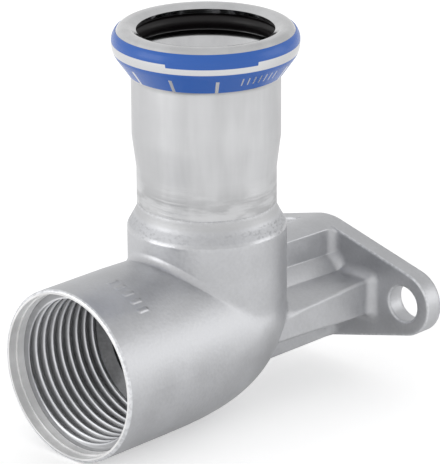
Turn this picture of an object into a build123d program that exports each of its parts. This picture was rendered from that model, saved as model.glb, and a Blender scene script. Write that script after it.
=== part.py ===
"""Offset wall elbow: press socket up, internal thread forwards, two-hole wall flange behind.

Frame: +Z along the press socket, the thread faces -Y, and the wall face looks along +Y.
The origin is where the thread's axis meets the wall face. All sizes are in millimetres.
"""
from build123d import *
from math import cos, hypot, radians, sin, sqrt
import os

# Reaches from the crossing of the socket's axis and the thread's axis
wall_reach = 30.0
mouth_reach = 32.1
socket_reach = 50.8

# Press socket: a formed tube with a neck, a pipe stop, the pipe's bore and a rolled bead
pipe_r = 11.0
pipe_clearance = 0.15
socket_wall = 1.0
neck_step = 0.7
neck_taper_length = 5.6
stop_depth = 17.6
stop_fillet = 4.0
bead_foot_depth = 7.5
bead_foot_fillet = 1.2
bead_rise = 2.95
bead_low_depth = 3.3
bead_low_fillet = 3.2
bead_high_depth = 0.9
bead_high_fillet = 2.2
crown_rise = 0.65
crown_outer_step = 1.2
crown_outer_fillet = 1.3
crown_inner_step = 2.6
crown_inner_fillet = 1.6
lip_clearance = 0.05

# Rubber ring in the bead and printed film round it
ring_clearance = 0.05
ring_roof_gap = 0.6
film_thickness = 0.12
film_foot_gap = 0.5
film_lip_gap = 0.1

# Threaded barrel, its stepped mouth and the water passage
thread_root_r = 13.22
thread_depth = 17.6
barrel_wall = 1.18
barrel_edge = 0.45
recess_step = 0.43
recess_depth = 1.6
pilot_step = 0.18
pilot_depth = 1.4
runout_cone_depth = 1.6
spigot_bore_step = 0.55

# Heel of the bend, crotch, collar and weld spigot
heel_start_reach = 17.4
heel_height = 4.6
heel_fullness = 2.78
heel_sections = 13
crotch_fillet = 1.3
crotch_turn = 75.0
crotch_sections = 15
collar_step = 1.65
collar_height = 17.7
shoulder_step = 0.5
shoulder_rise = 2.1
shoulder_fillet = 0.4
spigot_slope = 1.0
spigot_length = 1.1

# Diamond wall flange
flange_thickness = 3.2
flange_rise = 0.9
flange_hub_r = 10.4
screw_spacing = 39.0
screw_hole_r = 3.15
ear_wall = 2.35

# Cross-ribbed column between the bend and the flange
core_r = 7.1
web_half_at_bend = 2.8
web_half_at_wall = 3.7
wing_reach_at_bend = 10.1
wing_reach_at_wall = 12.8
wing_under = 2.6
wing_ridge_at_bend = 8.1
wing_ridge_at_wall = 3.4
wing_edge_at_bend = 1.05
wing_edge_at_wall = 4.0
rib_edge = 0.5
foot_fillet = 2.0

# Radii worked out from the sizes above
pipe_bore_r = pipe_r + pipe_clearance
tube_r = pipe_bore_r + socket_wall
neck_r = tube_r - neck_step
bead_r = tube_r + bead_rise
lip_r = pipe_bore_r + lip_clearance
ring_section_r = (bead_r - socket_wall - ring_clearance - pipe_bore_r) / 2
waterway_r = neck_r - socket_wall - spigot_bore_step
shoulder_r = neck_r + shoulder_step
collar_r = neck_r + collar_step
barrel_r = thread_root_r + barrel_wall
ear_r = screw_hole_r + ear_wall

# Heights above the thread's axis
stop_top = socket_reach - stop_depth
neck_top = stop_top - neck_taper_length
bead_foot = socket_reach - bead_foot_depth
bead_widest_low = socket_reach - bead_low_depth
bead_widest_high = socket_reach - bead_high_depth
crown_height = socket_reach + crown_rise
ring_height = crown_height - socket_wall - ring_roof_gap - ring_section_r
film_low = bead_foot + film_foot_gap
film_high = socket_reach - film_lip_gap
shoulder_top = collar_height + shoulder_rise
spigot_foot = shoulder_top + spigot_slope
weld_height = spigot_foot + spigot_length

# Places along Y, from the wall face at 0
socket_y = -wall_reach
mouth_y = socket_y - mouth_reach
thread_end_y = mouth_y + thread_depth
heel_y = socket_y - heel_start_reach
flange_front_y = -flange_thickness

# Helpers for the shapes: the barrel's round at the heel's height and under the collar, and overlaps
barrel_side = sqrt(barrel_r**2 - heel_height**2)
collar_round_r = hypot(collar_r, heel_height)
pivot_gap = 0.06
crotch_sink = 0.03
crotch_depth = 0.5
lap = 0.4


def level_plane_at(y, height=0.0):
    """A plane facing along +Y, its local X being the frame's X."""
    return Plane(origin=(0, y, height), x_dir=(1, 0, 0), z_dir=(0, 1, 0))


def rod_along_y(radius, start_y, end_y, height=0.0):
    """A cylinder whose axis runs along Y at the given height."""
    return extrude(level_plane_at(start_y, height) * Circle(radius), end_y - start_y)


def cone_along_y(start_r, end_r, start_y, end_y):
    """A cone's frustum on the thread's axis."""
    start = level_plane_at(start_y) * Circle(start_r)
    end = level_plane_at(end_y) * Circle(end_r)
    return loft([start.face(), end.face()])


def rod_along_z(radius, start_z, end_z):
    """A cylinder on the socket's axis."""
    return extrude(Plane((0, socket_y, start_z)) * Circle(radius), end_z - start_z)


def turned_on_socket(outline):
    """Revolve an outline drawn as radius and height about the socket's axis."""
    upright = Plane(origin=(0, socket_y, 0), x_dir=(1, 0, 0), z_dir=(0, -1, 0))
    return revolve(upright * outline, Axis((0, socket_y, 0), (0, 0, 1)))


def barrel_round_r(y):
    """The radius of the barrel's round, which narrows from the heel's start to the collar."""
    return barrel_r + (collar_round_r - barrel_r) * max(0.0, y - heel_y) / heel_start_reach


def flank_half_width(y, height):
    """Half the width of the barrel's round at that height."""
    return sqrt(barrel_round_r(y) ** 2 - height**2)


def heel_section(turn):
    """One section of the heel: half an ellipse at the back and two legs along the barrel's flanks."""
    angle = radians(turn)
    back, down = sin(angle), cos(angle)
    rim = (
        (back / (heel_start_reach + collar_r)) ** heel_fullness
        + (down / (heel_height + barrel_r)) ** heel_fullness
    ) ** (-1 / heel_fullness)
    centre = 1 / hypot(back / heel_start_reach, down / heel_height)
    reaches = (pivot_gap, (pivot_gap + centre) / 2, centre)
    leg = [(flank_half_width(heel_y + reach * back, heel_height - reach * down), reach) for reach in reaches]
    foot, knee, hip = leg
    arc = EllipticalCenterArc((0, centre), hip[0], rim - centre, start_angle=0, arc_size=180)
    right_leg = ThreePointArc(hip, knee, foot)
    base = Line((-foot[0], pivot_gap), foot)
    plane = Plane(origin=(0, heel_y, heel_height), x_dir=(1, 0, 0), z_dir=(0, down, back))
    return (plane * make_face(arc + right_leg + mirror(right_leg, about=Plane.YZ) + base)).face()


def heel():
    """The back corner of the bend, its sections fanned about a pivot line along X."""
    step = 90 / (heel_sections - 1)
    fan = loft([heel_section(step * index) for index in range(heel_sections)])
    fill_size = 3 * pivot_gap
    fill_half_width = sqrt(barrel_r**2 - (heel_height + fill_size / 2) ** 2) - pivot_gap
    pivot_fill = Pos(0, heel_y, heel_height) * Box(2 * fill_half_width, fill_size, fill_size)
    return fan, pivot_fill


def roof_section(y, half_chord):
    """The part of the barrel's round that stands above the heel's height."""
    crest = hypot(half_chord, heel_height)
    arc = ThreePointArc((-half_chord, heel_height), (0, crest), (half_chord, heel_height))
    chord = Line((half_chord, heel_height), (-half_chord, heel_height))
    plane = Plane(origin=(0, y, 0), x_dir=(1, 0, 0), z_dir=(0, -1, 0))
    return (plane * make_face(arc + chord)).face()


def barrel_roof():
    """The barrel's upper side, carried back under the collar and narrowing to meet it."""
    return loft([roof_section(heel_y, barrel_side), roof_section(socket_y, collar_r)], ruled=True)


def crotch_section(turn):
    """The fillet between the barrel and the collar, cut through the centre of its rolling ball."""
    angle = radians(turn)
    reach = collar_r + crotch_fillet
    x, y = reach * sin(angle), socket_y - reach * cos(angle)
    centre = Vector(x, y, sqrt((barrel_round_r(y) + crotch_fillet) ** 2 - x**2))
    to_barrel = (Vector(0, y, 0) - centre).normalized()
    to_collar = (Vector(0, socket_y, centre.Z) - centre).normalized()
    on_barrel = centre + to_barrel * (crotch_fillet + crotch_sink)
    on_collar = centre + to_collar * (crotch_fillet + crotch_sink)
    hollow = centre + (to_barrel + to_collar).normalized() * crotch_fillet
    inside = centre + (to_barrel + to_collar) * (crotch_fillet + crotch_depth)
    arc = ThreePointArc(on_barrel, hollow, on_collar)
    return make_face([arc, Line(on_collar, inside), Line(inside, on_barrel)]).face()


def crotch():
    """The cast fillet where the collar stands on the barrel, running out at both sides."""
    step = 2 * crotch_turn / (crotch_sections - 1)
    return loft([crotch_section(step * index - crotch_turn) for index in range(crotch_sections)])


def collar_and_spigot():
    """The round collar above the bend, its sloping shoulder and the spigot for the weld."""
    points = [
        (0, heel_height),
        (collar_r, heel_height),
        (collar_r, collar_height),
        (shoulder_r, shoulder_top),
        (neck_r, spigot_foot),
        (neck_r, weld_height),
        (0, weld_height),
    ]
    outline = make_face(Polyline(*points, close=True))
    rounded = [v for v in outline.vertices() if collar_height - lap < v.Y < weld_height - lap]
    return turned_on_socket(fillet(rounded, shoulder_fillet))


def wall_flange():
    """The diamond flange: a hub and two ears in one tangent outline."""
    plane = Plane(origin=(0, 0, flange_rise), x_dir=(1, 0, 0), z_dir=(0, -1, 0))
    ears = [(-screw_spacing / 2, 0), (screw_spacing / 2, 0)]
    with BuildSketch(plane) as outline:
        Circle(flange_hub_r)
        with Locations(*ears):
            Circle(ear_r)
        make_hull()
    return extrude(outline.sketch, flange_thickness)


def screw_holes():
    """The two holes through the flange's ears."""
    drill = rod_along_y(screw_hole_r, flange_front_y - lap, lap, flange_rise)
    return [Pos(side * screw_spacing / 2, 0, 0) * drill for side in (-1, 1)]


def upright_web(end_y):
    """The upright web, widening towards the wall, its ends flush with the flange's hub."""
    points = [
        (web_half_at_bend, socket_y),
        (web_half_at_wall, end_y),
        (-web_half_at_wall, end_y),
        (-web_half_at_bend, socket_y),
    ]
    plan = make_face(Polyline(*points, close=True))
    hub_rod = rod_along_y(flange_hub_r, socket_y, end_y, flange_rise)
    return extrude(plan, 2 * flange_hub_r, both=True) & hub_rod


def wing_section(y, reach, ridge_height, edge_height):
    """The level wing cut across: a flat underside and a top sloping from the middle to both edges."""
    points = [(0, ridge_height), (reach, edge_height), (reach, -wing_under)]
    points += [(-x, z) for x, z in reversed(points[1:])]
    outline = make_face(Polyline(*points, close=True))
    corners = [corner for corner in outline.vertices() if abs(corner.X) > reach / 2]
    plane = Plane(origin=(0, y, 0), x_dir=(1, 0, 0), z_dir=(0, -1, 0))
    return (plane * fillet(corners, rib_edge)).face()


def level_wing(end_y):
    """The level wing, growing wider and thicker at its edges towards the wall."""
    at_bend = wing_section(socket_y, wing_reach_at_bend, wing_ridge_at_bend, wing_edge_at_bend)
    at_wall = wing_section(end_y, wing_reach_at_wall, wing_ridge_at_wall, wing_edge_at_wall)
    return loft([at_bend, at_wall], ruled=True)


def column_foot_edges(body):
    """The edges where the column stands on the flange's front face, without the flange's outline."""
    low, high = flange_front_y - 0.01, flange_front_y + 0.01
    foot = []
    for edge in body.edges():
        box = edge.bounding_box()
        middle = edge @ 0.5
        off_axis = middle.Z - flange_rise
        on_hub = hypot(middle.X, off_axis) < flange_hub_r - 0.2
        on_wing = abs(middle.X) < wing_reach_at_wall and abs(off_axis) < wing_edge_at_wall
        if low < box.min.Y and box.max.Y < high and (on_hub or on_wing):
            foot.append(edge)
    return foot


def flange_and_column():
    """The flange with the ribbed column standing on it, and cast fillets between them."""
    end_y = flange_front_y / 2
    core = rod_along_y(core_r, socket_y, end_y)
    body = wall_flange() + core + upright_web(end_y) + level_wing(end_y)
    return fillet(column_foot_edges(body), foot_fillet)


def water_passage():
    """The stepped mouth, the thread's bore and the passage up to the weld."""
    recess = rod_along_y(thread_root_r + recess_step, mouth_y - lap, mouth_y + recess_depth)
    pilot_end_y = mouth_y + recess_depth + pilot_depth
    pilot = rod_along_y(thread_root_r + pilot_step, mouth_y, pilot_end_y)
    thread_bore = rod_along_y(thread_root_r, mouth_y, thread_end_y)
    runout = cone_along_y(thread_root_r, waterway_r, thread_end_y, thread_end_y + runout_cone_depth)
    run = rod_along_y(waterway_r, thread_end_y, socket_y)
    corner = Pos(0, socket_y, 0) * Sphere(waterway_r)
    rise = rod_along_z(waterway_r, 0, weld_height + lap)
    return recess + pilot + thread_bore + runout + run + corner + rise


def elbow_body():
    """The whole casting: barrel, bend, collar, column and flange in one piece."""
    barrel = rod_along_y(barrel_r, mouth_y, heel_y)
    rim = [e for e in barrel.edges() if abs((e @ 0.5).Y - mouth_y) < 0.01]
    fan, pivot_fill = heel()
    outer = fillet(rim, barrel_edge) + fan + barrel_roof() + collar_and_spigot() + pivot_fill + crotch()
    return outer + flange_and_column() - water_passage() - screw_holes()


def socket_outer_line():
    """The press socket's outer profile as radius and height, from the weld up to the lip."""
    corners = [
        (neck_r, weld_height, 0),
        (neck_r, neck_top, stop_fillet),
        (tube_r, stop_top, stop_fillet),
        (tube_r, bead_foot, bead_foot_fillet),
        (bead_r, bead_widest_low, bead_low_fillet),
        (bead_r, bead_widest_high, bead_high_fillet),
        (bead_r - crown_outer_step, crown_height, crown_outer_fillet),
        (bead_r - crown_inner_step, crown_height, crown_inner_fillet),
        (lip_r, socket_reach, 0),
    ]
    points = [(radius, height) for radius, height, _ in corners]
    return FilletPolyline(*points, radius=[corner[2] for corner in corners[1:-1]])


def press_socket():
    """The thin formed tube with its rolled bead, welded on the casting's spigot."""
    return turned_on_socket(make_face(offset(socket_outer_line(), socket_wall, side=Side.LEFT)))


def press_indicator():
    """The thin film wrapped round the outside of the bead."""
    skin = make_face(offset(socket_outer_line(), film_thickness, side=Side.RIGHT))
    middle = ((tube_r + bead_r) / 2, (film_low + film_high) / 2)
    band = Pos(*middle) * Rectangle(2 * bead_r - tube_r, film_high - film_low)
    return turned_on_socket(skin & band)


def seal_ring():
    """The rubber ring that sits inside the bead, its bore level with the pipe's bore."""
    section = Pos(pipe_bore_r + ring_section_r, ring_height) * Circle(ring_section_r)
    return turned_on_socket(section)


if __name__ == "__main__":
    os.makedirs("parts", exist_ok=True)
    export_step(elbow_body(), "parts/elbow_body.step")
    export_step(press_socket(), "parts/press_socket.step")
    export_step(seal_ring(), "parts/seal_ring.step")
    export_step(press_indicator(), "parts/press_indicator.step")
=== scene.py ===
"""The looks of a stainless wall elbow: cast body, thread, press socket, seal ring and printed film.

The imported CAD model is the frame. Blender's lengths are metres, so millimetres are written times MM.
"""

import math

import bmesh
import bpy
from mathutils import Matrix, Vector


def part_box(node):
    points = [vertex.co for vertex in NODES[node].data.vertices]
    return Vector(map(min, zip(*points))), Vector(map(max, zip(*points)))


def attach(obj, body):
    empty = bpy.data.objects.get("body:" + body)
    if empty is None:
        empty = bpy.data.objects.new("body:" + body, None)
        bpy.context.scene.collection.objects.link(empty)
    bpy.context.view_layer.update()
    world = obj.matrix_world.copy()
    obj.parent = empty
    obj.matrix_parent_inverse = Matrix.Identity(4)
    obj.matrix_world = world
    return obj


bl_info = {
    "name": "Wall Elbow Finishes",
    "version": (1, 0, 0),
    "blender": (4, 5, 0),
    "location": "View3D > Sidebar > Wall Elbow",
    "description": "Thread, metal finishes, film and stage for a cast wall elbow with a press socket",
    "category": "Object",
}

MM = 0.001

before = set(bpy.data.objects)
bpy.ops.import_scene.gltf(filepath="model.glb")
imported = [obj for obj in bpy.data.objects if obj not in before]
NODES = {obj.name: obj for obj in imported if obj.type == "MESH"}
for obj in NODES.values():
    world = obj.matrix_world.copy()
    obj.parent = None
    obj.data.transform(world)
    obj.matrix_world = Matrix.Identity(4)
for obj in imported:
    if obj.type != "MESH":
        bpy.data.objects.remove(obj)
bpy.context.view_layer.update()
BODY_LOW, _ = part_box("elbow_body")
SOCKET_LOW, SOCKET_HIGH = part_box("press_socket")
SOCKET_Y = (SOCKET_LOW.y + SOCKET_HIGH.y) / 2
MOUTH_Y = BODY_LOW.y
FLOOR_Z = BODY_LOW.z
WHITE = (1.0, 1.0, 1.0)

# Half the width of the soft step at a mask's edge
SOFT_STEP = 0.03 * MM

# Limits of the casting's machined and inner surfaces
LIP_R = 13.95 * MM
PILOT_END_Y = MOUTH_Y + 3.0 * MM
RIM_END_Y = MOUTH_Y + 0.4 * MM
THREAD_ZONE_R = 13.36 * MM
THREAD_ZONE_END_Y = MOUTH_Y + 19.3 * MM
PASSAGE_R = 10.2 * MM

# Limits of the casting's outer surfaces, and how softly some of them fade
BARREL_R = 14.4 * MM
FLANGE_LOOK_Y, FLANGE_FADE = -3.8 * MM, 0.4 * MM
CROTCH_Y, CROTCH_Z, CROTCH_FADE = (-38.0 * MM, -19.5 * MM), (1.5 * MM, 8.0 * MM), 1.5 * MM
COLLAR_EDGE_LOW, COLLAR_EDGE_FADE = 17.2 * MM, 0.2 * MM
SHOULDER_LOW, SHOULDER_HIGH, SHOULDER_FADE = 18.1 * MM, 19.6 * MM, 0.3 * MM
WELD_Z = (18.1 * MM, 20.4 * MM)
NECK_LOW = 20.2 * MM

# The plain raised bars: their row along the barrel and its spread round it
BAR_PITCH, BAR_HALF_WIDTH, BAR_SLOPE = 1.9 * MM, 0.3 * MM, 0.25 * MM
BAR_ROW_Y = (-54.6 * MM, -52.6 * MM)
BAR_SPREAD = (1.0 * MM, 10.4 * MM)

# Roughness of the casting's zones, later ones laid over earlier ones
CAST_ROUGHNESS = (("shoulder", 0.62), ("collar edge", 0.3), ("neck", 0.56), ("machined", 0.32))
MOUTH_METALLIC = 0.1
INSIDE_METALLIC = 0.6

# The tube: the middle of its wall, the heights of its zones and the stretch of its marks
NECK_MIDDLE_R = 10.95 * MM
TAPER_LOW, TAPER_HIGH, TAPER_RISE = 27.6 * MM, 33.2 * MM, 0.7 * MM
BEAD_LOW, BEAD_HIGH, BEAD_RISE = 43.3 * MM, 47.5 * MM, 2.95 * MM
CROWN_LOW = 48.5 * MM
SMOOTH_LOW, SMOOTH_HIGH = 43.0 * MM, 45.0 * MM
GROUND_LOW, GROUND_HIGH, GROUND_REST = 22.5 * MM, 29.0 * MM, 0.08
BENDS_Z, BENDS_FADE = (26.0 * MM, 35.0 * MM), 1.0 * MM
LONG_STREAKS, SHORT_STREAKS, LEVEL_MARKS = (1.0, 1.0, 0.12), (1.0, 1.0, 0.45), (1.0, 1.0, 3.5)

# The film's print, which repeats three times round the bead. Angles in tuples are degrees
FILM_REPEAT = math.radians(120.0)
FILM_START = math.radians(-105.2)
TICK_ANGLES = (5.0, 36.0, 67.0)
SCALE_ANGLES = (84.0, 111.0)
NARROW_LINE_ANGLES = (34.7, 92.4)
FILM_R = 13.5 * MM
PRINT_EDGE = 0.05 * MM
SCALE_Z = (44.9 * MM, 46.3 * MM)
SCALE_STEPS, SCALE_STRENGTH, STROKE_HALF_WIDTH = 6.0, 0.8, 0.12 * MM

# The thread: steps of the helix in a turn, and half the ridge's section in pitches and heights
HELIX_STEPS = 96
RIDGE_HALF = ((0.48, -0.1), (0.44, 0.04), (0.17, 0.92), (0.11, 1.0))

# The stage. Each NEAR, FAR, SIDE and SKY glow is a range and the values at its two ends
FLOOR_HALF = 3.0
# The floor's glow is lower close to the object, a painted shadow seen in reflections, and lower on the dark
# side, a painted shade.
NEAR_GLOW = (15.0 * MM, 75.0 * MM, 0.1, 0.28)
FAR_GLOW = (0.1, 0.7, 0.0, 0.16)
SIDE_GLOW = (0.2, 1.0, 1.0, 0.6)
FLOOR_GLOW = 0.4
SKY_GLOW = (0.0, 1.0, 0.95, 0.82)
SIDE_SPREAD = (0.3, 1.0)
BRIGHT_SIDE, DARK_SIDE, SIDE_STRENGTH = math.radians(-70.0), math.radians(140.0), 0.15
LAMP_SIZE, LAMP_DISTANCE, LAMP_TARGET_Z = 0.5, 0.8, 15.0 * MM
CAMERA_RIGHT, CAMERA_UP, SENSOR_WIDTH = 2.024 * MM, 15.039 * MM, 36.0


# Settings that a user would change


class CastingSettings(bpy.types.PropertyGroup):
    """The blasted cast steel of the body."""

    colour: bpy.props.FloatVectorProperty(
        name="Steel colour",
        description="Colour that the cast steel reflects",
        subtype="COLOR",
        size=3,
        min=0.0,
        max=1.0,
        default=(0.545, 0.55, 0.566),
    )
    roughness: bpy.props.FloatProperty(
        name="Roughness",
        description="How far the blasted surface spreads a reflection",
        subtype="FACTOR",
        min=0.0,
        max=1.0,
        default=0.42,
    )
    grain_size: bpy.props.FloatProperty(
        name="Grain size",
        description="Width of one dent that the blasting leaves",
        subtype="DISTANCE",
        unit="LENGTH",
        min=0.05 * MM,
        max=2.0 * MM,
        default=0.55 * MM,
    )
    edge_round: bpy.props.FloatProperty(
        name="Edge round",
        description="Radius at which the casting's edges and inner corners look worn soft",
        subtype="DISTANCE",
        unit="LENGTH",
        min=0.0,
        max=2.0 * MM,
        default=0.35 * MM,
    )
    mouth_tone: bpy.props.FloatProperty(
        name="Mouth tone",
        description="Brightness of the turned mouth",
        subtype="FACTOR",
        min=0.0,
        max=1.0,
        default=0.86,
    )
    # The passage and the thread's flanks are darkened: painted shade deep in the bore.
    passage_shade: bpy.props.FloatProperty(
        name="Passage tone",
        description="Brightness of the thread's flanks and of the water passage",
        subtype="FACTOR",
        min=0.0,
        max=1.0,
        default=0.34,
    )
    bar_height: bpy.props.FloatProperty(
        name="Cast bar height",
        description="Height of the plain raised bars on the barrel",
        subtype="DISTANCE",
        unit="LENGTH",
        min=0.0,
        max=1.0 * MM,
        default=0.2 * MM,
    )


class ThreadSettings(bpy.types.PropertyGroup):
    """The parallel pipe thread inside the barrel."""

    pitch: bpy.props.FloatProperty(
        name="Pitch",
        description="Distance from one crest to the next",
        subtype="DISTANCE",
        unit="LENGTH",
        min=0.5 * MM,
        max=4.0 * MM,
        default=1.814 * MM,
    )
    root_radius: bpy.props.FloatProperty(
        name="Root radius",
        description="Radius of the bore that the thread stands on",
        subtype="DISTANCE",
        unit="LENGTH",
        min=5.0 * MM,
        max=40.0 * MM,
        default=13.22 * MM,
    )
    depth: bpy.props.FloatProperty(
        name="Thread height",
        description="Height of a crest above the root",
        subtype="DISTANCE",
        unit="LENGTH",
        min=0.2 * MM,
        max=3.0 * MM,
        default=1.162 * MM,
    )
    lead_in: bpy.props.FloatProperty(
        name="Lead-in",
        description="Distance from the mouth to the start of the helix, which is cut back to the pilot",
        subtype="DISTANCE",
        unit="LENGTH",
        min=0.0,
        max=10.0 * MM,
        default=0.38 * MM,
    )
    turns: bpy.props.FloatProperty(
        name="Turns",
        description="Number of turns of the thread",
        min=1.0,
        max=30.0,
        default=10.0,
    )


class SocketSettings(bpy.types.PropertyGroup):
    """The drawn and polished tube of the press socket."""

    colour: bpy.props.FloatVectorProperty(
        name="Tube colour",
        description="Colour that the tube reflects",
        subtype="COLOR",
        size=3,
        min=0.0,
        max=1.0,
        default=(0.6, 0.603, 0.612),
    )
    roughness: bpy.props.FloatProperty(
        name="Roughness",
        description="How far the satin tube spreads a reflection",
        subtype="FACTOR",
        min=0.0,
        max=1.0,
        default=0.36,
    )
    bead_roughness: bpy.props.FloatProperty(
        name="Bead roughness",
        description="Roughness of the rolled bead, which is smoother than the tube",
        subtype="FACTOR",
        min=0.0,
        max=1.0,
        default=0.12,
    )
    bend_round: bpy.props.FloatProperty(
        name="Bend round",
        description="Reach over which the two bends of the tapered neck look drawn together",
        subtype="DISTANCE",
        unit="LENGTH",
        min=0.0,
        max=6.0 * MM,
        default=2.5 * MM,
    )


class FilmSettings(bpy.types.PropertyGroup):
    """The printed film round the bead."""

    ink: bpy.props.FloatVectorProperty(
        name="Ink",
        description="Colour of the printed zones",
        subtype="COLOR",
        size=3,
        min=0.0,
        max=1.0,
        default=(0.022, 0.12, 0.48),
    )
    line_low: bpy.props.FloatProperty(
        name="Clear line, lower edge",
        description="Height at which the clear line round the bead starts",
        subtype="DISTANCE",
        unit="LENGTH",
        default=47.4 * MM,
    )
    line_high: bpy.props.FloatProperty(
        name="Clear line, upper edge",
        description="Height at which the clear line round the bead ends",
        subtype="DISTANCE",
        unit="LENGTH",
        default=48.4 * MM,
    )
    line_step: bpy.props.FloatProperty(
        name="Clear line step",
        description="How much higher the clear line reaches between the zones",
        subtype="DISTANCE",
        unit="LENGTH",
        default=0.55 * MM,
    )
    tick_width: bpy.props.FloatProperty(
        name="Tick width",
        description="Width of a clear tick",
        subtype="DISTANCE",
        unit="LENGTH",
        default=0.55 * MM,
    )
    tick_top: bpy.props.FloatProperty(
        name="Tick top",
        description="Height at which the ticks end",
        subtype="DISTANCE",
        unit="LENGTH",
        default=46.1 * MM,
    )


class StageSettings(bpy.types.PropertyGroup):
    """Camera, lamps and background."""

    azimuth: bpy.props.FloatProperty(
        name="Camera azimuth",
        description="Angle of the camera round the object, 0 being straight in front of the thread",
        subtype="ANGLE",
        default=math.radians(44.081),
    )
    elevation: bpy.props.FloatProperty(
        name="Camera elevation",
        description="Angle of the camera above the horizon",
        subtype="ANGLE",
        default=math.radians(20.006),
    )
    roll: bpy.props.FloatProperty(
        name="Camera roll",
        description="Turn of the camera about its own line of sight",
        subtype="ANGLE",
        default=math.radians(-0.346),
    )
    distance: bpy.props.FloatProperty(
        name="Camera distance",
        description="Distance from the crossing of the two axes to the camera",
        subtype="DISTANCE",
        unit="LENGTH",
        default=537.88 * MM,
    )
    lens: bpy.props.FloatProperty(
        name="Lens",
        description="Focal length in millimetres on a 36 mm sensor",
        default=251.79,
    )
    key_power: bpy.props.FloatProperty(
        name="Key lamp",
        description="Power of the large lamp at the camera's left",
        unit="POWER",
        default=1.1,
    )
    fill_power: bpy.props.FloatProperty(
        name="Fill lamp",
        description="Power of the lamp at the camera's right",
        unit="POWER",
        default=0.7,
    )
    ambient: bpy.props.FloatProperty(
        name="Ambient light",
        description="Strength of the light from all round",
        min=0.0,
        max=2.0,
        default=0.8,
    )


# Helpers for node trees, shared by the shaders and the thread


def add_node(tree, kind, **values):
    """Add a node of that kind and set its plain properties."""
    node = tree.nodes.new(kind)
    for name, value in values.items():
        setattr(node, name, value)
    return node


def maths(tree, operation, *values):
    """A Math node with sockets or numbers as its inputs, as its output socket."""
    node = add_node(tree, "ShaderNodeMath", operation=operation)
    for slot, value in zip(node.inputs, values):
        plug(tree, value, slot)
    return node.outputs[0]


def plug(tree, value, socket):
    """Join a socket to an input, or set the input to a plain value."""
    if isinstance(value, bpy.types.NodeSocket):
        tree.links.new(value, socket)
    else:
        socket.default_value = value


def ramp(tree, value, low, high, out_low=0.0, out_high=1.0):
    """Map a value's range onto another, smoothly and clamped, as an output socket."""
    node = add_node(tree, "ShaderNodeMapRange", interpolation_type="SMOOTHSTEP")
    for slot, number in zip(node.inputs, (value, low, high, out_low, out_high)):
        plug(tree, number, slot)
    return node.outputs[0]


def within(tree, value, limit, softness=SOFT_STEP):
    """1 where a value is under the limit and 0 above it, with a soft step."""
    return ramp(tree, value, limit - softness, limit + softness, 1.0, 0.0)


def beyond(tree, value, limit, softness=SOFT_STEP):
    """1 where a value is over the limit and 0 under it, with a soft step."""
    return ramp(tree, value, limit - softness, limit + softness)


def band(tree, value, low, high, softness=SOFT_STEP):
    """1 where a value lies between two limits."""
    return product(tree, beyond(tree, value, low, softness), within(tree, value, high, softness))


def product(tree, *values):
    """All the values multiplied together."""
    result = values[0]
    for value in values[1:]:
        result = maths(tree, "MULTIPLY", result, value)
    return result


def largest(tree, *values):
    """The largest of the values."""
    result = values[0]
    for value in values[1:]:
        result = maths(tree, "MAXIMUM", result, value)
    return result


def split(tree, vector):
    """The three parts of a vector as sockets."""
    parts = tree.nodes.new("ShaderNodeSeparateXYZ")
    plug(tree, vector, parts.inputs[0])
    return parts.outputs["X"], parts.outputs["Y"], parts.outputs["Z"]


def hypotenuse(tree, first, second):
    """The length of the line whose two parts are given."""
    squares = [maths(tree, "MULTIPLY", value, value) for value in (first, second)]
    return maths(tree, "SQRT", maths(tree, "ADD", *squares))


def blend(tree, factor, first, second, kind="FLOAT"):
    """Mix two floats, colours or vectors by a factor, as an output socket."""
    node = add_node(tree, "ShaderNodeMix", data_type=kind)
    position = {"FLOAT": 2, "VECTOR": 4, "RGBA": 6}[kind]
    plug(tree, factor, node.inputs[0])
    plug(tree, first, node.inputs[position])
    plug(tree, second, node.inputs[position + 1])
    return node.outputs[{"FLOAT": 0, "VECTOR": 1, "RGBA": 2}[kind]]


def stretched(tree, vector, scale):
    """A vector whose three parts are multiplied by the numbers in scale."""
    node = add_node(tree, "ShaderNodeVectorMath", operation="MULTIPLY")
    plug(tree, vector, node.inputs[0])
    node.inputs[1].default_value = scale
    return node.outputs[0]


def noise(tree, vector, scale, detail=2.0):
    """Noise between about 0.3 and 0.7, as an output socket."""
    node = tree.nodes.new("ShaderNodeTexNoise")
    for label, value in (("Vector", vector), ("Scale", scale), ("Detail", detail)):
        plug(tree, value, node.inputs[label])
    return node.outputs["Fac"]


def new_group(name, inputs, outputs):
    """An empty shader group with the named sockets, and its two end nodes."""
    tree = bpy.data.node_groups.new(name, "ShaderNodeTree")
    for label, kind, default in inputs:
        socket = tree.interface.new_socket(label, in_out="INPUT", socket_type=kind)
        if default is not None:
            socket.default_value = default
    for label, kind in outputs:
        tree.interface.new_socket(label, in_out="OUTPUT", socket_type=kind)
    return tree, tree.nodes.new("NodeGroupInput"), tree.nodes.new("NodeGroupOutput")


def use_group(tree, group, **values):
    """Place a group in a tree and fill its inputs, underscores standing for spaces."""
    node = add_node(tree, "ShaderNodeGroup", node_tree=group)
    for name, value in values.items():
        plug(tree, value, node.inputs[name.replace("_", " ")])
    return node


def new_material(name):
    """A material with a Principled shader: the tree, the shader and object coordinates."""
    material = bpy.data.materials.new(name)
    material.use_nodes = True
    tree = material.node_tree
    tree.nodes.clear()
    shader = tree.nodes.new("ShaderNodeBsdfPrincipled")
    output = tree.nodes.new("ShaderNodeOutputMaterial")
    tree.links.new(shader.outputs["BSDF"], output.inputs["Surface"])
    place = tree.nodes.new("ShaderNodeTexCoord").outputs["Object"]
    return material, tree, shader, place


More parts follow.
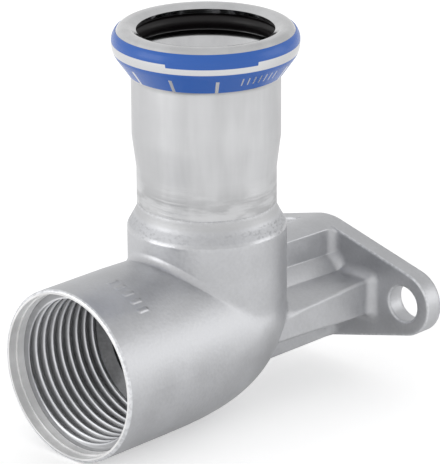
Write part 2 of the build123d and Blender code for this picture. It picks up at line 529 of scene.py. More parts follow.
def blasted_grain_group():
    """Fine dents and faint clouds, as bead blasting leaves them on a casting."""
    inputs = [
        ("Vector", "NodeSocketVector", None),
        ("Grain Size", "NodeSocketFloat", 0.3 * MM),
        ("Cloud Size", "NodeSocketFloat", 6.0 * MM),
    ]
    outputs = [("Height", "NodeSocketFloat"), ("Tone", "NodeSocketFloat")]
    tree, start, end = new_group("Blasted grain", inputs, outputs)
    vector = start.outputs["Vector"]
    cloud_share = 0.65
    grain = noise(tree, vector, maths(tree, "DIVIDE", 1.0, start.outputs["Grain Size"]))
    cloud = noise(tree, vector, maths(tree, "DIVIDE", 1.0, start.outputs["Cloud Size"]), detail=4.0)
    plug(tree, grain, end.inputs["Height"])
    plug(tree, blend(tree, cloud_share, grain, cloud), end.inputs["Tone"])
    return tree


def ring_marks_group():
    """Fine rings round an axis, broken and wandering, as turning and grinding leave them."""
    inputs = [
        ("Along", "NodeSocketFloat", 0.0),
        ("Vector", "NodeSocketVector", None),
        ("Spacing", "NodeSocketFloat", 0.4 * MM),
    ]
    outputs = [("Height", "NodeSocketFloat")]
    tree, start, end = new_group("Ring marks", inputs, outputs)
    vector = start.outputs["Vector"]
    wander_reach = 1.6 * MM
    wander = noise(tree, vector, scale=120.0)
    along = maths(tree, "MULTIPLY_ADD", wander, wander_reach, start.outputs["Along"])
    rings = add_node(tree, "ShaderNodeTexNoise", noise_dimensions="1D")
    plug(tree, maths(tree, "DIVIDE", along, start.outputs["Spacing"]), rings.inputs["W"])
    plug(tree, 1.0, rings.inputs["Scale"])
    plug(tree, 3.0, rings.inputs["Detail"])
    patches = ramp(tree, noise(tree, vector, scale=260.0), low=0.35, high=0.65, out_low=0.3)
    even = maths(tree, "SUBTRACT", rings.outputs["Fac"], 0.5)
    plug(tree, maths(tree, "MULTIPLY_ADD", even, patches, 0.5), end.inputs["Height"])
    return tree


def bump(tree, height, strength, distance, normal=None):
    """A Bump node over a height, as its normal output."""
    node = tree.nodes.new("ShaderNodeBump")
    node.inputs["Strength"].default_value = strength
    node.inputs["Distance"].default_value = distance
    plug(tree, height, node.inputs["Height"])
    if normal is not None:
        plug(tree, normal, node.inputs["Normal"])
    return node.outputs["Normal"]


def grey(colour, factor):
    """A colour made darker or lighter by a factor, with its alpha."""
    return [min(1.0, part * factor) for part in colour] + [1.0]


def overlaid(tree, mask, under, over):
    """A colour laid over another where a mask is 1."""
    return blend(tree, mask, under, over, "RGBA")


def tinted(tree, tone, colour, dark, light):
    """A colour that a tone between 0 and 1 darkens or lightens by those factors."""
    return overlaid(tree, tone, grey(colour, dark), grey(colour, light))


def shaded(tree, colour, factor):
    """A colour socket multiplied by a factor."""
    node = add_node(tree, "ShaderNodeVectorMath", operation="SCALE")
    plug(tree, colour, node.inputs[0])
    plug(tree, factor, node.inputs["Scale"])
    return node.outputs[0]


def bevel_normal(tree, radius):
    """The normal of edges and corners as if they were rounded by a radius."""
    node = tree.nodes.new("ShaderNodeBevel")
    node.samples = 8
    plug(tree, radius, node.inputs["Radius"])
    return node.outputs["Normal"]


def cast_zones(tree, place):
    """Masks of the casting's parts that look different, by name."""
    x, y, z = split(tree, place)
    from_thread_axis = hypotenuse(tree, x, z)
    past_bend = maths(tree, "SUBTRACT", y, SOCKET_Y)
    from_socket_axis = hypotenuse(tree, x, past_bend)
    from_crossing = hypotenuse(tree, from_thread_axis, past_bend)
    in_mouth = within(tree, y, PILOT_END_Y)
    mouth = product(tree, within(tree, from_thread_axis, LIP_R), in_mouth)
    past_mouth = maths(tree, "SUBTRACT", 1.0, in_mouth)
    in_bore = within(tree, from_thread_axis, THREAD_ZONE_R)
    threaded = product(tree, in_bore, past_mouth, within(tree, y, THREAD_ZONE_END_Y))
    run = product(tree, within(tree, from_thread_axis, PASSAGE_R), within(tree, y, SOCKET_Y))
    rise = product(tree, within(tree, from_socket_axis, PASSAGE_R), beyond(tree, z, 0.0))
    inside = largest(tree, threaded, run, rise, within(tree, from_crossing, PASSAGE_R))
    at_rim = within(tree, y, RIM_END_Y, softness=0.1 * MM)
    outer_edge = product(tree, beyond(tree, from_thread_axis, LIP_R), at_rim)
    return {
        "mouth": mouth,
        "inside": inside,
        "outer edge": outer_edge,
        "machined": largest(tree, mouth, outer_edge, inside),
        "collar edge": band(tree, z, COLLAR_EDGE_LOW, SHOULDER_LOW, COLLAR_EDGE_FADE),
        "shoulder": band(tree, z, SHOULDER_LOW, SHOULDER_HIGH, SHOULDER_FADE),
        "neck": beyond(tree, z, NECK_LOW, SHOULDER_FADE),
        "flange": beyond(tree, y, FLANGE_LOOK_Y, FLANGE_FADE),
    }


def cast_bars(tree, place):
    """A short row of plain raised bars across the top of the barrel."""
    x, y, z = split(tree, place)
    round_barrel = maths(tree, "MULTIPLY", maths(tree, "ARCTAN2", x, z), BARREL_R)
    across = maths(tree, "PINGPONG", round_barrel, BAR_PITCH / 2.0)
    bars = within(tree, across, BAR_HALF_WIDTH, BAR_SLOPE)
    row = band(tree, y, *BAR_ROW_Y, softness=0.3 * MM)
    spread = band(tree, round_barrel, *BAR_SPREAD, softness=0.1 * MM)
    return product(tree, bars, row, spread)


def softened_edges(tree, place, edge_round, on_flange):
    """The normal over softly worn edges, and a mask of where the edges are."""
    _, y, z = split(tree, place)
    by_weld = beyond(tree, z, SHOULDER_HIGH - 0.5 * MM, softness=0.5 * MM)
    at_crotch = product(tree, band(tree, z, *CROTCH_Z, CROTCH_FADE), band(tree, y, *CROTCH_Y, CROTCH_FADE))
    radius = edge_round
    for mask, times in ((by_weld, 4.0), (at_crotch, 6.0), (on_flange, 2.5)):
        radius = blend(tree, mask, radius, times * edge_round)
    soft = bevel_normal(tree, radius)
    sharp = tree.nodes.new("ShaderNodeNewGeometry").outputs["Normal"]
    turn = add_node(tree, "ShaderNodeVectorMath", operation="DOT_PRODUCT")
    plug(tree, soft, turn.inputs[0])
    plug(tree, sharp, turn.inputs[1])
    return soft, ramp(tree, turn.outputs["Value"], low=0.985, high=0.9)


def weld_spots(tree, place):
    """Small dark specks, gathered in patches, where the weld runs round the shoulder."""
    _, _, z = split(tree, place)
    flattened = stretched(tree, place, (1.0, 1.0, 1.8))
    specks = ramp(tree, noise(tree, flattened, scale=1500.0, detail=4.0), low=0.5, high=0.62)
    patches = ramp(tree, noise(tree, place, scale=90.0), low=0.36, high=0.6)
    ragged = maths(tree, "MULTIPLY_ADD", noise(tree, place, scale=400.0), 1.2 * MM, z)
    return product(tree, specks, patches, band(tree, ragged, *WELD_Z, SHOULDER_FADE))


def cast_outer_colour(tree, place, settings, tube, zones, tone, edge):
    """The casting's outside: faint clouds, the neck, weld specks and a painted highlight along its edges."""
    speck_strength, edge_highlight_share, flange_highlight_share = 0.36, 0.5, 0.95
    neck_tone, speck_tone, edge_highlight_tone = 0.9, 0.4, 1.45
    colour = tinted(tree, tone, settings.colour, dark=0.92, light=1.07)
    colour = overlaid(tree, zones["neck"], colour, grey(tube.colour, neck_tone))
    specks = maths(tree, "MULTIPLY", weld_spots(tree, place), speck_strength)
    colour = overlaid(tree, specks, colour, grey(settings.colour, speck_tone))
    # The edges, more so on the flange, and the mouth's outer edge are painted paler and broken by glints: a
    # painted highlight.
    highlight_share = blend(tree, zones["flange"], edge_highlight_share, flange_highlight_share)
    worn = largest(tree, maths(tree, "MULTIPLY", edge, highlight_share), zones["outer edge"])
    glints = ramp(tree, noise(tree, place, scale=1600.0), low=0.4, high=0.6, out_low=0.4)
    worn = maths(tree, "MULTIPLY", worn, glints)
    return overlaid(tree, worn, colour, grey(settings.colour, edge_highlight_tone))


def cast_inner_colour(tree, place, settings, zones, tone, rings, outer):
    """The outer colour with the turned mouth and the passage's painted shade laid over it."""
    bright = min(1.0, 1.5 * settings.mouth_tone)
    machined = tinted(tree, rings, WHITE, dark=settings.mouth_tone, light=bright)
    lengthwise = stretched(tree, place, (1.0, 0.2, 1.0))
    patches = noise(tree, lengthwise, scale=150.0, detail=3.0)
    patches = ramp(tree, patches, low=0.38, high=0.62, out_low=0.88, out_high=1.08)
    colour = overlaid(tree, zones["mouth"], outer, shaded(tree, machined, patches))
    # The passage gets a dark copy of the steel: painted shade inside the bore.
    painted_shade = settings.passage_shade
    passage = tinted(tree, tone, settings.colour, dark=0.8 * painted_shade, light=1.4 * painted_shade)
    return overlaid(tree, zones["inside"], colour, passage)


def cast_roughness(tree, settings, zones, tone):
    """The roughness of the blasted outside, with that of each zone laid over it."""
    rough = blend(tree, tone, settings.roughness - 0.04, settings.roughness + 0.06)
    for zone, value in CAST_ROUGHNESS:
        rough = blend(tree, zones[zone], rough, value)
    return rough


def cast_steel_material(settings, tube, grain_group, rings_group):
    """Pale bead-blasted cast stainless steel, turned at the mouth, with painted shade inside and a painted
    highlight on its edges.
    """
    material, tree, shader, place = new_material("cast stainless steel")
    x, y, z = split(tree, place)
    zones = cast_zones(tree, place)
    turned = maths(tree, "ADD", hypotenuse(tree, x, z), y)
    grain = use_group(tree, grain_group, Vector=place, Grain_Size=settings.grain_size)
    rings = use_group(tree, rings_group, Along=turned, Vector=place, Spacing=0.3 * MM).outputs["Height"]
    tone = ramp(tree, grain.outputs["Tone"], low=0.3, high=0.7)
    soft_normal, edge = softened_edges(tree, place, settings.edge_round, zones["flange"])
    outer = cast_outer_colour(tree, place, settings, tube, zones, tone, edge)
    colour = cast_inner_colour(tree, place, settings, zones, tone, rings, outer)
    bars = bump(tree, cast_bars(tree, place), strength=0.8, distance=settings.bar_height, normal=soft_normal)
    blasted = bump(tree, grain.outputs["Height"], strength=0.38, distance=0.08 * MM, normal=bars)
    cut = bump(tree, rings, strength=0.3, distance=0.05 * MM)
    cut_zone = largest(tree, zones["mouth"], zones["inside"])
    metal = blend(tree, zones["mouth"], 1.0, MOUTH_METALLIC)
    plug(tree, colour, shader.inputs["Base Color"])
    plug(tree, cast_roughness(tree, settings, zones, tone), shader.inputs["Roughness"])
    plug(tree, blend(tree, cut_zone, blasted, cut, "VECTOR"), shader.inputs["Normal"])
    plug(tree, blend(tree, zones["inside"], metal, INSIDE_METALLIC), shader.inputs["Metallic"])
    return material


def thread_steel_material(settings, casting, rings_group):
    """Machined steel of the thread, with a painted highlight on the crests and painted shade in the flanks.
    """
    material, tree, shader, place = new_material("machined steel")
    x, y, z = split(tree, place)
    crest_depth, crest_fade = 0.22 * settings.depth, 0.12 * settings.depth
    crest_r = settings.root_radius - settings.depth
    crest = within(tree, hypotenuse(tree, x, z), crest_r + crest_depth, crest_fade)
    rings = use_group(tree, rings_group, Along=y, Vector=place, Spacing=0.2 * MM).outputs["Height"]
    # The crests are a pale copy of the steel, a painted highlight, and the flanks a dark copy, a painted
    # shade.
    flank_shade = 1.5 * casting.passage_shade
    bright = tinted(tree, rings, casting.colour, dark=1.1, light=1.7)
    dark = tinted(tree, rings, casting.colour, dark=flank_shade, light=2.0 * flank_shade)
    flank_rough, crest_rough = 0.4, 0.3
    flank_metallic, crest_metallic = 0.6, 0.85
    plug(tree, overlaid(tree, crest, dark, bright), shader.inputs["Base Color"])
    plug(tree, bump(tree, rings, strength=0.2, distance=0.02 * MM), shader.inputs["Normal"])
    plug(tree, blend(tree, crest, flank_rough, crest_rough), shader.inputs["Roughness"])
    plug(tree, blend(tree, crest, flank_metallic, crest_metallic), shader.inputs["Metallic"])
    return material


def tube_inner_wall(tree, place):
    """1 on the tube's inner wall, which follows the taper and the bead."""
    x, y, z = split(tree, place)
    from_axis = hypotenuse(tree, x, maths(tree, "SUBTRACT", y, SOCKET_Y))
    taper = ramp(tree, z, TAPER_LOW, TAPER_HIGH, NECK_MIDDLE_R, NECK_MIDDLE_R + TAPER_RISE)
    wall_middle = maths(tree, "ADD", taper, ramp(tree, z, BEAD_LOW, BEAD_HIGH, 0.0, BEAD_RISE))
    inner = within(tree, maths(tree, "SUBTRACT", from_axis, wall_middle), 0.0)
    return product(tree, inner, within(tree, z, CROWN_LOW))


def tube_tone(tree, place, streaks, ground):
    """How bright the tube is: long streaks above, and patchy level marks where it is ground."""
    smudge_share, ground_share = 0.6, 0.8
    smudges = noise(tree, stretched(tree, place, SHORT_STREAKS), scale=130.0)
    drawn = ramp(tree, blend(tree, smudge_share, streaks, smudges), low=0.35, high=0.65)
    marks = noise(tree, stretched(tree, place, LEVEL_MARKS), scale=160.0, detail=4.0)
    worn = ramp(tree, marks, low=0.42, high=0.62)
    return blend(tree, maths(tree, "MULTIPLY", ground, ground_share), drawn, worn)


def tube_steel_material(settings, rings_group):
    """Satin tube steel, ground in rings near the weld, streaked above and smooth on the bead."""
    material, tree, shader, place = new_material("satin tube steel")
    _, _, z = split(tree, place)
    inner = tube_inner_wall(tree, place)
    rings = use_group(tree, rings_group, Along=z, Vector=place, Spacing=0.7 * MM).outputs["Height"]
    ground = ramp(tree, z, GROUND_LOW, GROUND_HIGH, out_low=1.0, out_high=GROUND_REST)
    streaks = noise(tree, stretched(tree, place, LONG_STREAKS), scale=420.0, detail=3.0)
    tone = tube_tone(tree, place, streaks, ground)
    streak_tone, ground_tone = 0.94, 0.72
    darkest = blend(tree, ground, streak_tone, ground_tone)
    colour = tinted(tree, tone, settings.colour, dark=1.0, light=1.06)
    colour = shaded(tree, colour, blend(tree, tone, darkest, 1.0))
    smooth = largest(tree, ramp(tree, z, SMOOTH_LOW, SMOOTH_HIGH), inner)
    rough = blend(tree, tone, settings.roughness + 0.05, settings.roughness - 0.05)
    bends = product(tree, band(tree, z, *BENDS_Z, BENDS_FADE), maths(tree, "SUBTRACT", 1.0, inner))
    soft = bevel_normal(tree, maths(tree, "MULTIPLY", bends, settings.bend_round))
    fine = bump(tree, streaks, strength=0.12, distance=0.05 * MM, normal=soft)
    marks = maths(tree, "MULTIPLY", rings, ground)
    plug(tree, colour, shader.inputs["Base Color"])
    plug(tree, blend(tree, smooth, rough, settings.bead_roughness), shader.inputs["Roughness"])
    plug(tree, bump(tree, marks, strength=0.6, distance=0.12 * MM, normal=fine), shader.inputs["Normal"])
    shader.inputs["Metallic"].default_value = 1.0
    return material


def film_line(tree, z, local, settings):
    """The clear line round the bead, which steps up between its narrow stretches."""
    limits = [math.radians(value) for value in NARROW_LINE_ANGLES]
    narrow = band(tree, local, *limits, PRINT_EDGE / FILM_R)
    high = blend(tree, narrow, settings.line_high + settings.line_step, settings.line_high)
    under_high = within(tree, maths(tree, "SUBTRACT", z, high), 0.0, PRINT_EDGE)
    return product(tree, beyond(tree, z, settings.line_low, PRINT_EDGE), under_high)


def film_ticks(tree, z, local, settings):
    """The broad clear ticks below the line."""
    half_angle = settings.tick_width / 2.0 / FILM_R
    ticks = []
    for value in TICK_ANGLES:
        away = maths(tree, "ABSOLUTE", maths(tree, "SUBTRACT", local, math.radians(value)))
        ticks.append(within(tree, away, half_angle, PRINT_EDGE / FILM_R))
    return product(tree, largest(tree, *ticks), within(tree, z, settings.tick_top, PRINT_EDGE))


def film_scale(tree, z, local):
    """A row of plain fine strokes beside the ticks."""
    low, high = (math.radians(value) for value in SCALE_ANGLES)
    step = (high - low) / SCALE_STEPS
    across = maths(tree, "PINGPONG", maths(tree, "SUBTRACT", local, low), step / 2.0)
    strokes = within(tree, across, STROKE_HALF_WIDTH / FILM_R, PRINT_EDGE / FILM_R)
    room = band(tree, local, low - step / 4.0, high + step / 4.0, PRINT_EDGE / FILM_R)
    return product(tree, strokes, room, band(tree, z, *SCALE_Z, PRINT_EDGE), SCALE_STRENGTH)


def film_print(tree, place, settings):
    """Where the film is clear: a line that steps up and down, broad ticks and a fine scale."""
    x, y, z = split(tree, place)
    angle = maths(tree, "ARCTAN2", maths(tree, "SUBTRACT", y, SOCKET_Y), x)
    local = maths(tree, "WRAP", maths(tree, "SUBTRACT", angle, FILM_START), FILM_REPEAT, 0.0)
    line = film_line(tree, z, local, settings)
    return largest(tree, line, film_ticks(tree, z, local, settings), film_scale(tree, z, local))


def film_material(settings, tube):
    """Glossy ink on clear film, through which the steel shows where nothing is printed."""
    material, tree, shader, place = new_material("printed film")
    clear = film_print(tree, place, settings)
    ink, steel = grey(settings.ink, 1.0), grey(tube.colour, 1.1)
    ink_rough, steel_rough = 0.26, 0.12
    plug(tree, overlaid(tree, clear, ink, steel), shader.inputs["Base Color"])
    plug(tree, clear, shader.inputs["Metallic"])
    plug(tree, blend(tree, clear, ink_rough, steel_rough), shader.inputs["Roughness"])
    return material


def rubber_material(grain_group):
    """Black seal rubber with a slight sheen."""
    material, tree, shader, place = new_material("black seal rubber")
    grain = use_group(tree, grain_group, Vector=place, Grain_Size=0.4 * MM)
    tone, black = grain.outputs["Tone"], (0.007, 0.0055, 0.006)
    rough = ramp(tree, tone, low=0.3, high=0.7, out_low=0.3, out_high=0.42)
    shader.inputs["Specular IOR Level"].default_value = 0.3
    plug(tree, tinted(tree, tone, black, dark=0.8, light=1.3), shader.inputs["Base Color"])
    plug(tree, rough, shader.inputs["Roughness"])
    plug(tree, bump(tree, grain.outputs["Height"], strength=0.1, distance=0.02 * MM), shader.inputs["Normal"])
    return material


# The thread


def thread_tree(material):
    """A geometry tree that sweeps a rounded ridge along a helix about the Y axis."""
    tree = bpy.data.node_groups.new("Pipe thread", "GeometryNodeTree")
    tree.interface.new_socket("Geometry", in_out="OUTPUT", socket_type="NodeSocketGeometry")
    for label in ("Pitch", "Root Radius", "Height", "Turns", "Start"):
        tree.interface.new_socket(label, in_out="INPUT", socket_type="NodeSocketFloat")
    start = tree.nodes.new("NodeGroupInput")
    end = tree.nodes.new("NodeGroupOutput")
    pitch, root, turns = (start.outputs[name] for name in ("Pitch", "Root Radius", "Turns"))
    helix = tree.nodes.new("GeometryNodeCurveSpiral")
    helix.inputs["Resolution"].default_value = HELIX_STEPS
    plug(tree, turns, helix.inputs["Rotations"])
    plug(tree, root, helix.inputs["Start Radius"])
    plug(tree, root, helix.inputs["End Radius"])
    plug(tree, maths(tree, "MULTIPLY", pitch, turns), helix.inputs["Height"])
    normals = add_node(tree, "GeometryNodeSetCurveNormal", mode="Z_UP")
    tree.links.new(helix.outputs["Curve"], normals.inputs["Curve"])
    ridge = ridge_profile(tree, pitch, start.outputs["Height"])
    sweep = tree.nodes.new("GeometryNodeCurveToMesh")
    tree.links.new(normals.outputs["Curve"], sweep.inputs["Curve"])
    tree.links.new(ridge, sweep.inputs["Profile Curve"])
    plug(tree, True, sweep.inputs["Fill Caps"])
    laid = tree.nodes.new("GeometryNodeTransform")
    tree.links.new(sweep.outputs["Mesh"], laid.inputs["Geometry"])
    laid.inputs["Rotation"].default_value = (-math.pi / 2.0, 0.0, 0.0)
    offset = tree.nodes.new("ShaderNodeCombineXYZ")
    plug(tree, start.outputs["Start"], offset.inputs["Y"])
    tree.links.new(offset.outputs[0], laid.inputs["Translation"])
    smooth = tree.nodes.new("GeometryNodeSetShadeSmooth")
    tree.links.new(laid.outputs["Geometry"], smooth.inputs["Geometry"])
    real = tree.nodes.new("GeometryNodeRealizeInstances")
    tree.links.new(smooth.outputs["Geometry"], real.inputs["Geometry"])
    painted = tree.nodes.new("GeometryNodeSetMaterial")
    painted.inputs["Material"].default_value = material
    tree.links.new(real.outputs["Geometry"], painted.inputs["Geometry"])
    tree.links.new(painted.outputs["Geometry"], end.inputs["Geometry"])
    return tree


def ridge_profile(tree, pitch, height):
    """The ridge's section: a rounded triangle nearly one pitch wide, its foot sunk in the wall."""
    outline = [(-across, up) for across, up in RIDGE_HALF] + list(reversed(RIDGE_HALF))
    line = tree.nodes.new("GeometryNodeMeshLine")
    line.inputs["Count"].default_value = len(outline)
    index = tree.nodes.new("GeometryNodeInputIndex").outputs[0]
    across = outline_value(tree, index, [point[0] for point in outline])
    up = outline_value(tree, index, [point[1] for point in outline])
    spot = tree.nodes.new("ShaderNodeCombineXYZ")
    plug(tree, maths(tree, "MULTIPLY", up, height), spot.inputs["X"])
    plug(tree, maths(tree, "MULTIPLY", across, pitch), spot.inputs["Y"])
    shaped = tree.nodes.new("GeometryNodeSetPosition")
    tree.links.new(line.outputs["Mesh"], shaped.inputs["Geometry"])
    tree.links.new(spot.outputs[0], shaped.inputs["Position"])
    curve = tree.nodes.new("GeometryNodeMeshToCurve")
    tree.links.new(shaped.outputs["Geometry"], curve.inputs["Mesh"])
    closed = tree.nodes.new("GeometryNodeSetSplineCyclic")
    closed.inputs["Cyclic"].default_value = True
    tree.links.new(curve.outputs["Curve"], closed.inputs["Geometry"])
    return closed.outputs["Geometry"]


def outline_value(tree, index, values):
    """Pick one of the values by index, with an Index Switch."""
    switch = add_node(tree, "GeometryNodeIndexSwitch", data_type="FLOAT")
    while len(switch.index_switch_items) < len(values):
        switch.index_switch_items.new()
    tree.links.new(index, switch.inputs["Index"])
    for slot, value in zip(switch.inputs[1:], values):
        slot.default_value = value
    return switch.outputs[0]


def set_modifier_input(modifier, label, value):
    """Set a geometry modifier's input by the identifier of the socket with that name."""
    for item in modifier.node_group.interface.items_tree:
        if item.item_type == "SOCKET" and item.in_out == "INPUT" and item.name == label:
            modifier[item.identifier] = value


def plain_mesh_object(name, source):
    """A new object with the evaluated mesh of another, which is then removed."""
    graph = bpy.context.evaluated_depsgraph_get()
    mesh = bpy.data.meshes.new_from_object(source.evaluated_get(graph))
    mesh.name = name
    piece = bpy.data.objects.new(name, mesh)
    bpy.context.scene.collection.objects.link(piece)
    bpy.data.objects.remove(source)
    return piece


def cut_at_pilot(piece):
    """Cut a mesh square at the pilot's end, keep what lies behind and close the cut."""
    mesh = bmesh.new()
    mesh.from_mesh(piece.data)
    everything = list(mesh.verts) + list(mesh.edges) + list(mesh.faces)
    towards_mouth = (0.0, -1.0, 0.0)
    plane = {"plane_co": (0.0, PILOT_END_Y, 0.0), "plane_no": towards_mouth}
    cut = bmesh.ops.bisect_plane(mesh, geom=everything, clear_outer=True, **plane)
    rim = [item for item in cut["geom_cut"] if isinstance(item, bmesh.types.BMEdge)]
    bmesh.ops.triangle_fill(mesh, edges=rim, use_beauty=True, normal=towards_mouth)
    mesh.to_mesh(piece.data)
    mesh.free()


def give_material(node, material):
    """Put one material on a CAD node or a piece."""
    piece = NODES[node] if isinstance(node, str) else node
    piece.data.materials.clear()
    piece.data.materials.append(material)


# Operators


class ELBOW_OT_casting(bpy.types.Operator):
    """Finish the cast body."""

    bl_idname = "elbow.casting"
    bl_label = "Finish casting"

    def execute(self, context):
        settings = context.scene.elbow_casting
        tube = context.scene.elbow_socket
        material = cast_steel_material(settings, tube, shared_group("grain"), shared_group("rings"))
        give_material("elbow_body", material)
        return {"FINISHED"}


class ELBOW_OT_thread(bpy.types.Operator):
    """Cut the thread in the barrel."""

    bl_idname = "elbow.thread"
    bl_label = "Cut thread"

    def execute(self, context):
        settings = context.scene.elbow_thread
        material = thread_steel_material(settings, context.scene.elbow_casting, shared_group("rings"))
        carrier = bpy.data.objects.new("thread_carrier", bpy.data.meshes.new("thread_carrier"))
        context.scene.collection.objects.link(carrier)
        modifier = carrier.modifiers.new("Pipe thread", "NODES")
        modifier.node_group = thread_tree(material)
        sizes = {
            "Pitch": settings.pitch,
            "Root Radius": settings.root_radius,
            "Height": settings.depth,
            "Turns": settings.turns,
            "Start": MOUTH_Y + settings.lead_in,
        }
        for label, value in sizes.items():
            set_modifier_input(modifier, label, value)
        thread = plain_mesh_object("thread", carrier)
        cut_at_pilot(thread)
        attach(thread, "root")
        return {"FINISHED"}


class ELBOW_OT_socket(bpy.types.Operator):
    """Finish the press socket's tube."""

    bl_idname = "elbow.socket"
    bl_label = "Finish press socket"

    def execute(self, context):
        give_material("press_socket", tube_steel_material(context.scene.elbow_socket, shared_group("rings")))
        return {"FINISHED"}


class ELBOW_OT_film(bpy.types.Operator):
    """Print the film round the bead."""

    bl_idname = "elbow.film"
    bl_label = "Print film"

    def execute(self, context):
        give_material("press_indicator", film_material(context.scene.elbow_film, context.scene.elbow_socket))
        return {"FINISHED"}


class ELBOW_OT_seal(bpy.types.Operator):
    """Finish the seal ring."""

    bl_idname = "elbow.seal"
    bl_label = "Finish seal ring"

    def execute(self, context):
        give_material("seal_ring", rubber_material(shared_group("grain")))
        return {"FINISHED"}


class ELBOW_OT_stage(bpy.types.Operator):
    """Set the floor, the background, the lamps and the camera."""

    bl_idname = "elbow.stage"
    bl_label = "Set stage"

    def execute(self, context):
        settings = context.scene.elbow_stage
        lay_floor(settings)
        light_world(settings)
        add_lamps(settings)
        place_camera(settings)
        context.scene.view_settings.view_transform = "Standard"
        return {"FINISHED"}


def shared_group(kind):
    """The shader group of that kind, built once."""
    builders = {"grain": ("Blasted grain", blasted_grain_group), "rings": ("Ring marks", ring_marks_group)}
    name, build = builders[kind]
    return bpy.data.node_groups.get(name) or build()


# Stage


def floor_glow(tree, place, settings):
    """How much the floor glows in a reflection: less close by, a painted shadow of the object, and less on
    one side, a painted shade.
    """
    x, y, _ = split(tree, place)
    past_bend = maths(tree, "SUBTRACT", y, SOCKET_Y)
    away = hypotenuse(tree, x, past_bend)
    dark_side = direction_from(settings.azimuth + DARK_SIDE, 0.0)
    parts = [maths(tree, "MULTIPLY", x, dark_side.x), maths(tree, "MULTIPLY", past_bend, dark_side.y)]
    by_distance = maths(tree, "ADD", ramp(tree, away, *NEAR_GLOW), ramp(tree, away, *FAR_GLOW))
    by_side = ramp(tree, maths(tree, "DIVIDE", maths(tree, "ADD", *parts), away), *SIDE_GLOW)
    return product(tree, by_distance, by_side)


def lay_floor(settings):
    """A wide white floor that the camera sees as white where no shadow falls."""
    half = FLOOR_HALF
    corners = [(-half, -half, FLOOR_Z), (half, -half, FLOOR_Z), (half, half, FLOOR_Z), (-half, half, FLOOR_Z)]
    mesh = bpy.data.meshes.new("floor")
    mesh.from_pydata(corners, [], [(0, 1, 2, 3)])
    floor = bpy.data.objects.new("floor", mesh)
    bpy.context.scene.collection.objects.link(floor)
    material, tree, shader, place = new_material("white floor")
    rays = tree.nodes.new("ShaderNodeLightPath")
    plain = largest(tree, rays.outputs["Is Camera Ray"], rays.outputs["Is Transmission Ray"])
    glow = blend(tree, rays.outputs["Is Glossy Ray"], 0.0, floor_glow(tree, place, settings))
    shader.inputs["Base Color"].default_value = (0.85, 0.85, 0.85, 1.0)
    shader.inputs["Roughness"].default_value = 0.9
    shader.inputs["Emission Color"].default_value = (1.0, 1.0, 1.0, 1.0)
    plug(tree, blend(tree, plain, glow, FLOOR_GLOW), shader.inputs["Emission Strength"])
    floor.data.materials.append(material)


def light_world(settings):
    """A white background, a soft sky for reflections and an even ambient light."""
    world = bpy.data.worlds.new("studio")
    bpy.context.scene.world = world
    world.use_nodes = True
    tree = world.node_tree
    background = tree.nodes["Background"]
    rays = tree.nodes.new("ShaderNodeLightPath")
    direction = tree.nodes.new("ShaderNodeTexCoord").outputs["Generated"]
    _, _, upward = split(tree, direction)
    sky = ramp(tree, upward, *SKY_GLOW)
    for turn, strength in ((BRIGHT_SIDE, SIDE_STRENGTH), (DARK_SIDE, -SIDE_STRENGTH)):
        side = add_node(tree, "ShaderNodeVectorMath", operation="DOT_PRODUCT")
        plug(tree, direction, side.inputs[0])
        side.inputs[1].default_value = direction_from(settings.azimuth + turn, 0.0)
        sky = maths(tree, "ADD", sky, ramp(tree, side.outputs["Value"], *SIDE_SPREAD, 0.0, strength))
    glossy = largest(tree, rays.outputs["Is Glossy Ray"], rays.outputs["Is Transmission Ray"])
    lit = blend(tree, glossy, settings.ambient, sky)
    background.inputs["Color"].default_value = (1.0, 1.0, 1.0, 1.0)
    plug(tree, blend(tree, rays.outputs["Is Camera Ray"], lit, 1.0), background.inputs["Strength"])


def direction_from(azimuth, elevation):
    """The direction towards a camera or lamp at those angles, as a unit vector."""
    level = math.cos(elevation)
    return Vector((math.sin(azimuth) * level, -math.cos(azimuth) * level, math.sin(elevation)))


def add_lamps(settings):
    """Two large soft lamps, one at each side of the camera, as name, power, turn and elevation."""
    target = Vector((0.0, SOCKET_Y, LAMP_TARGET_Z))
    lamps = (
        ("key lamp", settings.key_power, math.radians(-70.0), math.radians(15.0)),
        ("fill lamp", settings.fill_power, math.radians(90.0), math.radians(12.0)),
    )
    for name, power, turn, elevation in lamps:
        light = bpy.data.lights.new(name, "AREA")
        light.energy = power
        light.shape = "SQUARE"
        light.size = LAMP_SIZE
        lamp = bpy.data.objects.new(name, light)
        bpy.context.scene.collection.objects.link(lamp)
        away = direction_from(settings.azimuth + turn, elevation)
        lamp.rotation_mode = "QUATERNION"
        lamp.rotation_quaternion = (-away).to_track_quat("-Z", "Y")
        lamp.location = target + away * LAMP_DISTANCE


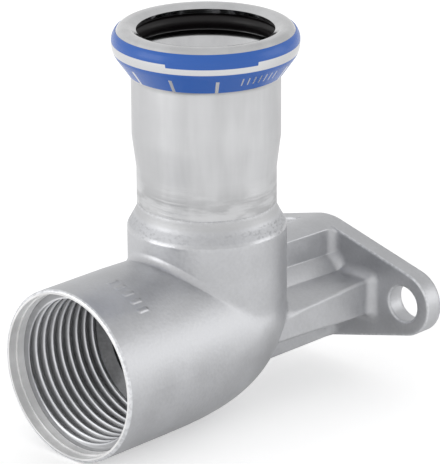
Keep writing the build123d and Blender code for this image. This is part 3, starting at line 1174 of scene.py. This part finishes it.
def place_camera(settings):
    """The photograph's camera: a long lens, slightly above, with the axes' crossing low in the view."""
    back = direction_from(settings.azimuth, settings.elevation)
    level_right = Vector((math.cos(settings.azimuth), math.sin(settings.azimuth), 0.0))
    level_up = back.cross(level_right)
    right = math.cos(settings.roll) * level_right + math.sin(settings.roll) * level_up
    up = math.cos(settings.roll) * level_up - math.sin(settings.roll) * level_right
    crossing = Vector((0.0, SOCKET_Y, 0.0))
    location = crossing + back * settings.distance + right * CAMERA_RIGHT + up * CAMERA_UP
    camera = bpy.data.objects.new("camera", bpy.data.cameras.new("camera"))
    bpy.context.scene.collection.objects.link(camera)
    turn = Matrix((right, up, back)).transposed().to_4x4()
    camera.matrix_world = Matrix.Translation(location) @ turn
    camera.data.lens = settings.lens
    camera.data.sensor_width = SENSOR_WIDTH
    bpy.context.scene.camera = camera


class ELBOW_PT_panel(bpy.types.Panel):
    """The wall elbow's steps in the sidebar."""

    bl_label = "Wall Elbow"
    bl_idname = "ELBOW_PT_panel"
    bl_space_type = "VIEW_3D"
    bl_region_type = "UI"
    bl_category = "Wall Elbow"

    def draw(self, context):
        for operator in STEPS:
            self.layout.operator(operator.bl_idname)


SETTINGS = {
    "elbow_casting": CastingSettings,
    "elbow_thread": ThreadSettings,
    "elbow_socket": SocketSettings,
    "elbow_film": FilmSettings,
    "elbow_stage": StageSettings,
}
STEPS = (
    ELBOW_OT_casting,
    ELBOW_OT_thread,
    ELBOW_OT_socket,
    ELBOW_OT_film,
    ELBOW_OT_seal,
    ELBOW_OT_stage,
)


def register():
    """Register the settings, the operators and the panel."""
    for name, group in SETTINGS.items():
        bpy.utils.register_class(group)
        setattr(bpy.types.Scene, name, bpy.props.PointerProperty(type=group))
    for operator in STEPS:
        bpy.utils.register_class(operator)
    bpy.utils.register_class(ELBOW_PT_panel)


def unregister():
    """Undo register."""
    bpy.utils.unregister_class(ELBOW_PT_panel)
    for operator in reversed(STEPS):
        bpy.utils.unregister_class(operator)
    for name, group in reversed(SETTINGS.items()):
        delattr(bpy.types.Scene, name)
        bpy.utils.unregister_class(group)


def main():
    """Run every step in order."""
    register()
    bpy.ops.elbow.casting()
    bpy.ops.elbow.thread()
    bpy.ops.elbow.socket()
    bpy.ops.elbow.film()
    bpy.ops.elbow.seal()
    bpy.ops.elbow.stage()


if __name__ == "__main__":
    main()
